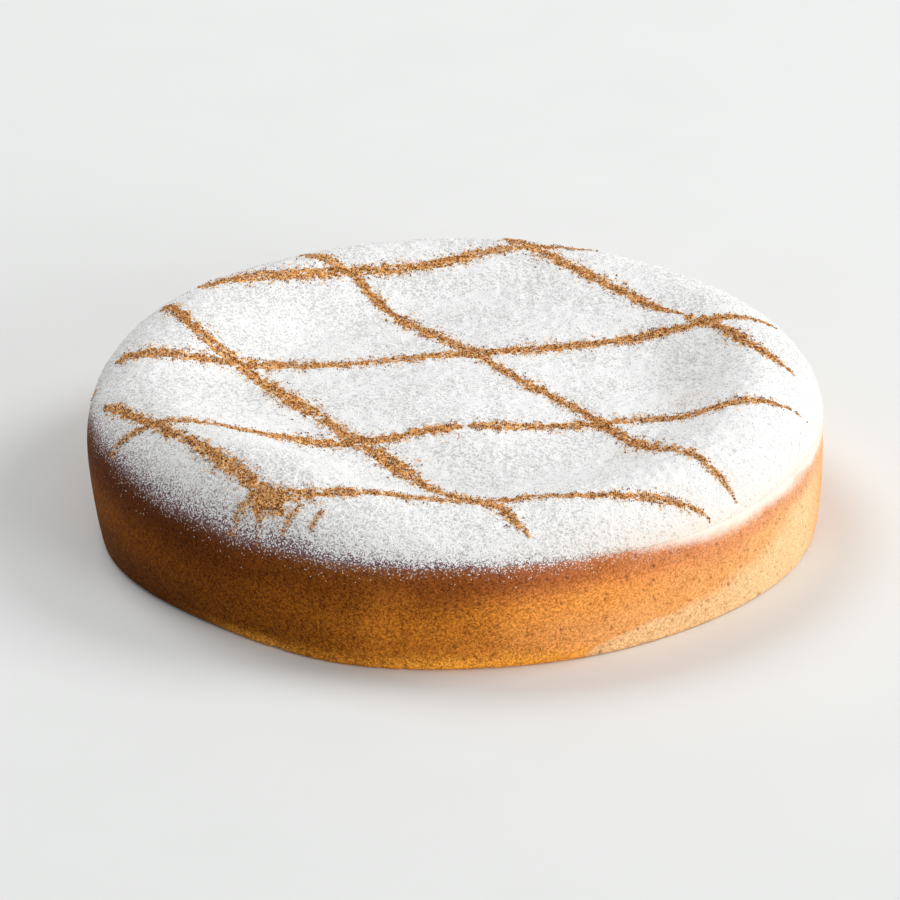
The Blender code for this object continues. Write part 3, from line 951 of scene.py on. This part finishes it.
# %% [markdown]
# ## Writing finishes as formulas
#
# A material is a small program of nodes. Wiring Math nodes one by one hides what it says, so a socket
# is wrapped in a class whose operators add the nodes: share * 2 + 1 reads as a formula and makes two
# Math nodes. Colours are blended with Mix nodes, because a Math node would turn them grey. All noise
# reads Object coordinates, in metres, so a grain keeps its size on every piece.

# %% Shader expressions
class Value:
    """A number that a node gives. Each operator adds the Math node that it names."""

    def __init__(self, finish, socket):
        self.finish = finish
        self.socket = socket

    def __add__(self, other):
        return self.finish.math("ADD", self, other)

    __radd__ = __add__

    def __sub__(self, other):
        return self.finish.math("SUBTRACT", self, other)

    def __rsub__(self, other):
        return self.finish.math("SUBTRACT", other, self)

    def __mul__(self, other):
        return self.finish.math("MULTIPLY", self, other)

    __rmul__ = __mul__

    def __gt__(self, other):
        return self.finish.math("GREATER_THAN", self, other)


class Finish:
    """A material whose node tree is written as expressions."""

    def __init__(self, name, roughness, specular=0.3):
        self.material = bpy.data.materials.new(name)
        self.material.use_nodes = True
        self.tree = self.material.node_tree
        self.surface = self.tree.nodes["Principled BSDF"]
        self.surface.inputs["Roughness"].default_value = roughness
        self.surface.inputs["Specular IOR Level"].default_value = specular
        self.place = self.node("ShaderNodeTexCoord", output="Object")

    def node(self, kind, sockets=None, output=0, **settings):
        """Adds a node: first its settings are set, then the values or links of its sockets."""
        made = self.tree.nodes.new(kind)
        for name, setting in settings.items():
            setattr(made, name, setting)
        for name, value in (sockets or {}).items():
            self.feed(made.inputs[name], value)
        return Value(self, made.outputs[output])

    def feed(self, socket, value):
        """Links a value to a socket, or sets the socket to a plain number or colour."""
        if isinstance(value, Value):
            self.tree.links.new(value.socket, socket)
        elif isinstance(value, tuple) and socket.type == "RGBA":
            socket.default_value = (*value, 1)
        else:
            socket.default_value = value

    def math(self, operation, *numbers):
        """A Math node on values or plain numbers."""
        return self.node("ShaderNodeMath", dict(enumerate(numbers)), operation=operation)

    def measure(self, name):
        """A number stored at the mesh's points."""
        return self.node("ShaderNodeAttribute", output="Fac", attribute_name=name)

    def step(self, value, start, end):
        """0 before start, 1 after end, and an S curve between them."""
        sockets = {"Value": value, "From Min": start, "From Max": end}
        return self.node("ShaderNodeMapRange", sockets, interpolation_type="SMOOTHSTEP")

    def noise(self, size, detail=2):
        """Cloudy noise from 0 to 1 with lumps of this size in mm."""
        sockets = {"Vector": self.place, "Scale": 1 / (size * MM), "Detail": detail}
        return self.node("ShaderNodeTexNoise", sockets)

    def cells(self, size, output):
        """Voronoi cells about this size in mm: the distance from a cell's middle, or its random colour."""
        sockets = {"Vector": self.place, "Scale": 1 / (size * MM)}
        return self.node("ShaderNodeTexVoronoi", sockets, output=output)

    def specks(self, size):
        """A random number from 0 to 1 for each cell about this size in mm."""
        return self.node("ShaderNodeSeparateColor", {0: self.cells(size, "Color")})

    def pores(self, size, width):
        """1 inside small round spots, one in some of the cells of this size in mm; width is in cells."""
        inside = 1 - self.step(self.cells(size, "Distance"), width * 0.5, width)
        return inside * (self.specks(size) > 0.6)

    def blend(self, share, first, second, way="MIX"):
        """A colour between first and second, or first changed by second in the way named."""
        sockets = {0: share, 6: first, 7: second}
        return self.node("ShaderNodeMix", sockets, output=2, data_type="RGBA", blend_type=way)

    def paint(self, thing, colour, relief=None, depth=0.0, strength=1.0):
        """Gives the surface its colour, a bump of this depth in mm, and the material to a piece."""
        self.feed(self.surface.inputs["Base Color"], colour)
        if relief is not None:
            sockets = {"Height": relief, "Distance": depth * MM, "Strength": strength}
            self.feed(self.surface.inputs["Normal"], self.node("ShaderNodeBump", sockets, output="Normal"))
        thing.data.materials.append(self.material)


# %% [markdown]
# ## The crust's finish
#
# Baked crust is matt, and no two places on it have the same brown. Colours are linear, as light adds
# up. The crust goes from deep brown to pale gold by the shares stored at its points, then fine noise
# mottles it, the pits darken, and the sugar's last grains speckle it or, in the haze, veil it.

# %% Crust colours
DEEP_BROWN = (0.232, 0.066, 0.003)
GOLD = (0.85, 0.29, 0.032)
PALE_GOLD = (0.80, 0.43, 0.19)
LIGHT_GOLD = (0.86, 0.56, 0.28)
FOOT_LIGHT_GOLD = (0.90, 0.38, 0.045)
FOOT_SHADE_BROWN = (0.11, 0.03, 0.003)
RING_SHADE = (0.28, 0.17, 0.5)
BLUSH_SHADE = (0.89, 0.79, 0.86)
PIT_BROWN = (0.16, 0.035, 0.010)
GRAIN_DARK = (0.40, 0.32, 0.20)
GRAIN_LIGHT = (1.56, 1.64, 1.84)
SUGAR_WHITE = (0.96, 0.96, 0.955)
THIN_SUGAR = (0.72, 0.67, 0.62)
CREAM_SUGAR = (0.93, 0.81, 0.70)
PURPLE_BROWN = (0.20, 0.092, 0.115)
WARM_GOLD = (0.76, 0.36, 0.17)


# %% Crust finish
def browned(crust):
    """The browning, with painted shade and painted light: blends by the stored shares, then the two bands
    under the sugar multiplied in.
    """
    # Deep brown to gold to pale gold by side: partly real browning, partly painted shade and painted
    # highlight.
    colour = crust.blend(crust.measure("gold"), DEEP_BROWN, GOLD)
    colour = crust.blend(crust.measure("pale"), colour, PALE_GOLD)
    # Painted light along the near foot, standing in for light thrown up from below.
    colour = crust.blend(crust.measure("painted_foot_light"), colour, FOOT_LIGHT_GOLD)
    # Painted shade low on the wall, mostly on the brown side.
    colour = crust.blend(crust.measure("painted_foot_shade") * 0.9, colour, FOOT_SHADE_BROWN)
    colour = crust.blend(crust.measure("light_side") * 0.9, colour, LIGHT_GOLD)
    colour = crust.blend(crust.measure("ring"), colour, RING_SHADE, way="MULTIPLY")
    return crust.blend(crust.measure("blush"), colour, BLUSH_SHADE, way="MULTIPLY")


def grained(crust, colour):
    """Grain lighter and darker than the colour, strongest on the brown side, with dark pores and pits."""
    grain = crust.specks(0.5) * 0.6 + crust.step(crust.noise(1.0), 0.3, 0.7) * 0.25 + crust.noise(9) * 0.15
    spread = 1.5 - crust.measure("gold") * 0.45 - crust.measure("pale") * 0.6
    shade = crust.blend((grain - 0.5) * spread + 0.5, GRAIN_DARK, GRAIN_LIGHT)
    colour = crust.blend(1.0, colour, shade, way="MULTIPLY")
    softer = crust.measure("pale") * 0.5
    colour = crust.blend(crust.pores(1.9, 0.17) * (0.75 - softer), colour, PIT_BROWN)
    return crust.blend(crust.measure("pit") * (1 - softer), colour, PIT_BROWN)


def dusted(crust, colour):
    """Sugar on the crust: single white specks where the cover is thin, and a smooth cream in the haze."""
    cover = crust.measure("cover")
    haze = crust.measure("haze")
    shaded = crust.step(cover, 0.0, 0.25) * (1 - crust.measure("gold")) * 0.5
    colour = crust.blend(shaded, colour, PURPLE_BROWN)
    veil = cover * 0.3 * (1 - haze) + crust.step(cover, 0.05, 0.95) * haze
    cream = crust.blend(crust.step(1 - cover, 0.0, 0.15), SUGAR_WHITE, CREAM_SUGAR)
    colour = crust.blend(veil, colour, crust.blend(haze, THIN_SUGAR, cream))
    return crust.blend((cover * 0.85 > crust.specks(0.33)) * (0.85 - haze * 0.7), colour, SUGAR_WHITE)


def crust_finish(thing):
    """Matt, and a little rough to the light."""
    crust = Finish("golden_crust", roughness=0.7, specular=0.05)
    colour = dusted(crust, grained(crust, browned(crust)))
    crust.paint(thing, colour, relief=crust.noise(0.8), depth=0.15, strength=0.6)


crust_finish(baked_crust)

# %% [markdown]
# ## The sugar's finish
#
# Icing sugar is white, matt and never quite even. Where it thins out, the brown shows between its
# grains, so the colour is chosen speck by speck: sugar where the cover is larger than the speck's
# own random number. Small grey specks, thicker in some clouds than in others, stand for the shadows
# between lumps that are too fine for the mesh.

# %% Sugar finish
SPECK_GREY = (0.69, 0.69, 0.685)


def sugar_finish(thing):
    """White specks over brown by the cover, a smooth cream in the haze and a few faint stains."""
    white = Finish("icing_sugar", roughness=0.95)
    cover = white.measure("cover")
    bare = white.blend(white.measure("gold"), PURPLE_BROWN, WARM_GOLD)
    under = white.blend(white.step(cover, 0.55, 0.98), bare, THIN_SUGAR)
    haze = white.measure("haze")
    thin = white.step(1 - cover, 0.0, 0.12) * white.measure("gold") * 0.5 * (1 - haze)
    thin = thin + white.step(1 - cover, 0.0, 0.15) * haze + white.measure("stain") * 0.4
    powder = white.blend(thin, SUGAR_WHITE, CREAM_SUGAR)
    share = (cover * 0.985 > white.specks(0.36)) * (1 - haze) + white.step(cover, 0.05, 0.95) * haze
    colour = white.blend(share, under, powder)
    crowd = (white.step(white.noise(26, 3), 0.38, 0.62) * 0.3 + 0.07) * (1 - haze * 0.85)
    colour = white.blend((crowd > white.specks(0.7)) * 0.9, colour, SPECK_GREY, way="MULTIPLY")
    shade = white.noise(0.6, 3) * 0.5 + white.specks(0.5) * 0.5
    white.paint(thing, colour, relief=shade, depth=0.5, strength=1.0)


sugar_finish(icing_sugar)

# %% [markdown]
# ## The grains' finishes
#
# Ground cinnamon is bark of several browns with some light dust in it, and sugar crystals are whiter
# or greyer as they lie. Each grain keeps one random share, its tint, that picks its colour. The banks
# have no grains of their own, so specks about as large as a grain pick the colour there, with less of
# the light dust: painted shade for the shadows between the grains that lie over them.

# %% Grain finishes
CRYSTAL_GREY = (0.84, 0.84, 0.835)
CRYSTAL_WHITE = (0.98, 0.98, 0.98)
DARK_BARK = (0.16, 0.05, 0.006)
LIGHT_BARK = (0.70, 0.275, 0.045)
CINNAMON_DUST = (0.98, 0.65, 0.31)


def sugar_grain_finish(thing):
    """Grey to white by each grain's tint."""
    grain = Finish("sugar_crystals", roughness=0.8)
    grain.paint(thing, grain.blend(grain.measure("tint"), CRYSTAL_GREY, CRYSTAL_WHITE))


def cinnamon_finish(thing, tint, painted_grain_shade=0.0):
    """Dark bark, light bark and dust by the tint, with less dust by the given share: painted shade between
    grains.
    """
    spice = Finish("ground_cinnamon", roughness=0.9)
    share = tint(spice)
    colour = spice.blend(spice.step(share, 0.16, 0.46), DARK_BARK, LIGHT_BARK)
    colour = spice.blend(spice.step(share, 0.45, 0.8) * (1 - painted_grain_shade), colour, CINNAMON_DUST)
    spice.paint(thing, colour, relief=spice.noise(0.5), depth=0.15, strength=0.6)


sugar_grain_finish(sugar_clumps)
sugar_grain_finish(sugar_grains)
# The bank gets less light dust: painted shade between the grains lying over it.
cinnamon_finish(cinnamon_bank, lambda spice: spice.specks(0.8), painted_grain_shade=0.3)
cinnamon_finish(cinnamon_grains, lambda spice: spice.measure("tint"))

# %% [markdown]
# ## Joining the looks to the solid model
#
# The solids stay for weight and touch, but the fine surfaces are shown in their place. Every piece
# rides on the cake's one body.

# %% Ride and replace
for piece in (baked_crust, icing_sugar, sugar_clumps, sugar_grains, cinnamon_bank, cinnamon_grains):
    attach(piece, "root")
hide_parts("cake_body")
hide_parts("sugar_coat")

# %% [markdown]
# ## The studio
#
# A plain pale floor and three wide soft lights: one on the right, one low at the near right that
# brings out the crust's curve, and one high at the far left. A little light comes from all round.

# %% Floor
FLOOR_SIZE = 6.0
FLOOR_GREYS = ((0.78, 0.79, 0.78), (0.82, 0.83, 0.82))


def floor():
    """A large flat square, with a faint unevenness in its grey."""
    half = FLOOR_SIZE / 2
    points = [(-half, -half, 0), (half, -half, 0), (half, half, 0), (-half, half, 0)]
    made = make_mesh("floor", points, [np.array([[0, 1, 2, 3]])])
    finish = Finish("pale_floor", roughness=0.9)
    finish.paint(made, finish.blend(finish.noise(60, 4), *FLOOR_GREYS))


floor()


# %% Lights
LIGHT_DISTANCE = 3.2
LIGHT_SIZE = 1.5


def soft_light(name, azimuth, height_angle, watts):
    """A round area light that looks at the cake; azimuth runs from +X towards +Y, in degrees."""
    lamp = bpy.data.lights.new(name, "AREA")
    lamp.shape = "DISK"
    lamp.size = LIGHT_SIZE
    lamp.energy = watts
    turn, rise = np.radians(azimuth), np.radians(height_angle)
    way = Vector((np.cos(turn) * np.cos(rise), np.sin(turn) * np.cos(rise), np.sin(rise)))
    light = bpy.data.objects.new(name, lamp)
    light.location = way * LIGHT_DISTANCE
    light.rotation_mode = "QUATERNION"
    light.rotation_quaternion = way.to_track_quat("Z", "Y")
    bpy.context.scene.collection.objects.link(light)


soft_light("window", azimuth=10, height_angle=40, watts=44)
soft_light("near_side", azimuth=-45, height_angle=15, watts=49)
soft_light("far_side", azimuth=125, height_angle=55, watts=36)

# %% Light from all round
ROOM_COLOUR = (0.99, 1, 1, 1)
ROOM_STRENGTH = 0.38

world = bpy.data.worlds.new("room")
world.use_nodes = True
room = world.node_tree.nodes["Background"]
room.inputs["Color"].default_value = ROOM_COLOUR
room.inputs["Strength"].default_value = ROOM_STRENGTH
bpy.context.scene.world = world
bpy.context.scene.view_settings.view_transform = "Standard"

# %% [markdown]
# ## The camera
#
# A long lens from well back, looking down at about 25 degrees, keeps the round top as a calm ellipse.

# %% Camera
CAMERA_AIM = Vector((-1.9, -2.0, 22.5)) * MM
CAMERA_DISTANCE = 1.616
CAMERA_HEIGHT_ANGLE = np.radians(25.15)
CAMERA_ROLL = np.radians(0.15)
CAMERA_LENS = 169.6

camera_data = bpy.data.cameras.new("camera")
camera_data.lens = CAMERA_LENS
camera = bpy.data.objects.new("camera", camera_data)
back = Vector((0, -np.cos(CAMERA_HEIGHT_ANGLE), np.sin(CAMERA_HEIGHT_ANGLE)))
camera.location = CAMERA_AIM + back * CAMERA_DISTANCE
camera.rotation_mode = "QUATERNION"
camera.rotation_quaternion = back.to_track_quat("Z", "Y") @ Quaternion((0, 0, 1), CAMERA_ROLL)
bpy.context.scene.collection.objects.link(camera)
bpy.context.scene.camera = camera
print("camera, mm from the cake's middle:", [round(part / MM) for part in camera.location])

# %% [markdown]
# ## Finish
#
# The fine surfaces are meant to lie within the solid model's box; the last step brings the scene up to date.
# The fine surfaces must stay inside the solid model's box, so both boxes are written out.

# %% Finish
bpy.context.view_layer.update()
